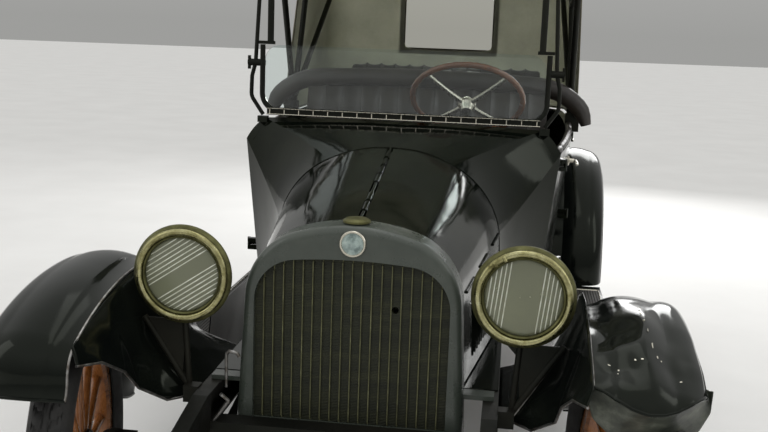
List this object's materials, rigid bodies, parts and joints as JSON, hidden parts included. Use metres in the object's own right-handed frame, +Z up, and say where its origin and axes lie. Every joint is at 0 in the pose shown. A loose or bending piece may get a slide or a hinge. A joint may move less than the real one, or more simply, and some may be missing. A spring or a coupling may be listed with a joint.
{
  "type": "open touring car",
  "caption": "Open four-door touring car with raised canvas top, flat upright radiator, drum headlamps, wooden spoked wheels, running boards and a rear spare tyre.",
  "frame": {"origin": "on the floor under the middle of the car, at the centre of its bounding box", "axes": "+Z up, -Y towards the radiator, +X towards the car's left side"},
  "size_m": [1.676, 3.9549, 2.0396],
  "materials": {
    "body_enamel": "gloss",
    "fender_enamel": "gloss",
    "chassis_black": "satin",
    "shell_paint": "satin",
    "core_brass": "matte",
    "lamp_nickel": "satin",
    "lens_glass": "gloss",
    "canvas": "matte",
    "clear_sheet": "gloss",
    "screen_glass": "gloss",
    "seat_leather": "satin",
    "tyre_rubber": "matte",
    "wheel_wood": "gloss",
    "rim_wood": "gloss",
    "floor_wood": "matte",
    "engine_grey": "matte",
    "tank_black": "satin"
  },
  "bodies": {
    "car": {"body_tub": "body_enamel", "bonnet_ledges": "body_enamel", "cowl": "body_enamel", "floor": "floor_wood", "frame": "chassis_black", "front_aprons": "fender_enamel", "front_axle": "chassis_black", "front_fenders": "fender_enamel", "front_seat": "seat_leather", "fuel_tank": "tank_black", "headlamp_lenses": "lens_glass", "headlamp_rims": "lamp_nickel", "headlamp_shells": "chassis_black", "powertrain": "engine_grey", "radiator_cap": "lamp_nickel", "radiator_core": "core_brass", "radiator_shell": "shell_paint", "rear_axle": "chassis_black", "rear_fenders": "fender_enamel", "rear_seat": "seat_leather", "rear_window": "clear_sheet", "running_boards": "fender_enamel", "spare_carrier": "chassis_black", "spare_tyre": "tyre_rubber", "springs": "chassis_black", "steering_column": "chassis_black", "tail_lamp": "chassis_black", "top_bows": "chassis_black", "top_canvas": "canvas", "windscreen_frame": "chassis_black", "windscreen_glass": "screen_glass"},
    "knuckle_left": {"knuckle_left": "chassis_black"},
    "knuckle_right": {"knuckle_right": "chassis_black"},
    "tie_rod": {"tie_rod": "chassis_black"},
    "wheel_front_left": {"tyre_front_left": "tyre_rubber", "wheel_front_left": "wheel_wood"},
    "wheel_front_right": {"tyre_front_right": "tyre_rubber", "wheel_front_right": "wheel_wood"},
    "wheel_rear_left": {"tyre_rear_left": "tyre_rubber", "wheel_rear_left": "wheel_wood"},
    "wheel_rear_right": {"tyre_rear_right": "tyre_rubber", "wheel_rear_right": "wheel_wood"},
    "steering_wheel": {"steering_wheel": "rim_wood"},
    "door_front_left": {"door_front_left": "body_enamel"},
    "door_front_right": {"door_front_right": "body_enamel"},
    "door_rear_left": {"door_rear_left": "body_enamel"},
    "door_rear_right": {"door_rear_right": "body_enamel"},
    "bonnet_top_left": {"bonnet_top_left": "body_enamel"},
    "bonnet_top_right": {"bonnet_top_right": "body_enamel"},
    "bonnet_side_left": {"bonnet_side_left": "body_enamel"},
    "bonnet_side_right": {"bonnet_side_right": "body_enamel"}
  },
  "joints": [
    {"name": "steering_left", "type": "hinge", "parent": "car", "child": "knuckle_left", "pos_m": [0.62, -1.4965, 0.419], "axis": [0, 0, 1], "range_deg": [-42, 18]},
    {"name": "steering_right", "type": "hinge", "parent": "car", "child": "knuckle_right", "pos_m": [-0.62, -1.4965, 0.419], "axis": [0, 0, 1], "range_deg": [-42, 18]},
    {"name": "tie_rod_pivot", "type": "hinge", "parent": "knuckle_left", "child": "tie_rod", "pos_m": [0.59505, -1.37912, 0.3857], "axis": [0, 0, 1], "range_deg": [-18, 42]},
    {"name": "wheel_front_left_spin", "type": "hinge", "parent": "knuckle_left", "child": "wheel_front_left", "pos_m": [0.70901, -1.47758, 0.419], "axis": [0.9781, 0.2079, 0], "continuous": true},
    {"name": "wheel_rear_left_spin", "type": "hinge", "parent": "car", "child": "wheel_rear_left", "pos_m": [0.711, 1.3995, 0.419], "axis": [1, 0, 0], "continuous": true},
    {"name": "wheel_front_right_spin", "type": "hinge", "parent": "knuckle_right", "child": "wheel_front_right", "pos_m": [-0.70901, -1.51542, 0.419], "axis": [0.9781, 0.2079, 0], "continuous": true},
    {"name": "wheel_rear_right_spin", "type": "hinge", "parent": "car", "child": "wheel_rear_right", "pos_m": [-0.711, 1.3995, 0.419], "axis": [1, 0, 0], "continuous": true},
    {"name": "steering_wheel_turn", "type": "hinge", "parent": "car", "child": "steering_wheel", "pos_m": [0.205, -0.1165, 1.318], "axis": [0, 0.6561, 0.7547], "range_deg": [-420, 180]},
    {"name": "door_front_left_hinge", "type": "hinge", "parent": "car", "child": "door_front_left", "pos_m": [0.57124, -0.3125, 0.9], "axis": [0, 0, -1], "range_deg": [0, 70]},
    {"name": "door_front_right_hinge", "type": "hinge", "parent": "car", "child": "door_front_right", "pos_m": [-0.57124, -0.3125, 0.9], "axis": [0, 0, 1], "range_deg": [0, 70]},
    {"name": "door_rear_left_hinge", "type": "hinge", "parent": "car", "child": "door_rear_left", "pos_m": [0.64652, 0.7225, 0.9], "axis": [0, 0, -1], "range_deg": [0, 70]},
    {"name": "door_rear_right_hinge", "type": "hinge", "parent": "car", "child": "door_rear_right", "pos_m": [-0.64652, 0.7225, 0.9], "axis": [0, 0, 1], "range_deg": [0, 70]},
    {"name": "bonnet_top_left_hinge", "type": "hinge", "parent": "car", "child": "bonnet_top_left", "pos_m": [0, -1.3645, 1.075], "axis": [0, -0.982, -0.1886], "range_deg": [0, 68]},
    {"name": "bonnet_side_left_hinge", "type": "hinge", "parent": "bonnet_top_left", "child": "bonnet_side_left", "pos_m": [0.2805, -1.3585, 0.89185], "axis": [-0.1244, -0.9884, -0.0872], "range_deg": [0, 100]},
    {"name": "bonnet_top_right_hinge", "type": "hinge", "parent": "car", "child": "bonnet_top_right", "pos_m": [0, -1.3645, 1.075], "axis": [0, 0.982, 0.1886], "range_deg": [0, 68]},
    {"name": "bonnet_side_right_hinge", "type": "hinge", "parent": "bonnet_top_right", "child": "bonnet_side_right", "pos_m": [-0.2805, -1.3585, 0.89185], "axis": [-0.1244, 0.9884, 0.0872], "range_deg": [0, 100]}
  ],
  "couplings": [
    {"joint": "steering_right", "follows": "steering_left", "ratio": 1},
    {"joint": "tie_rod_pivot", "follows": "steering_left", "ratio": -1},
    {"joint": "steering_wheel_turn", "follows": "steering_left", "ratio": 10}
  ]
}
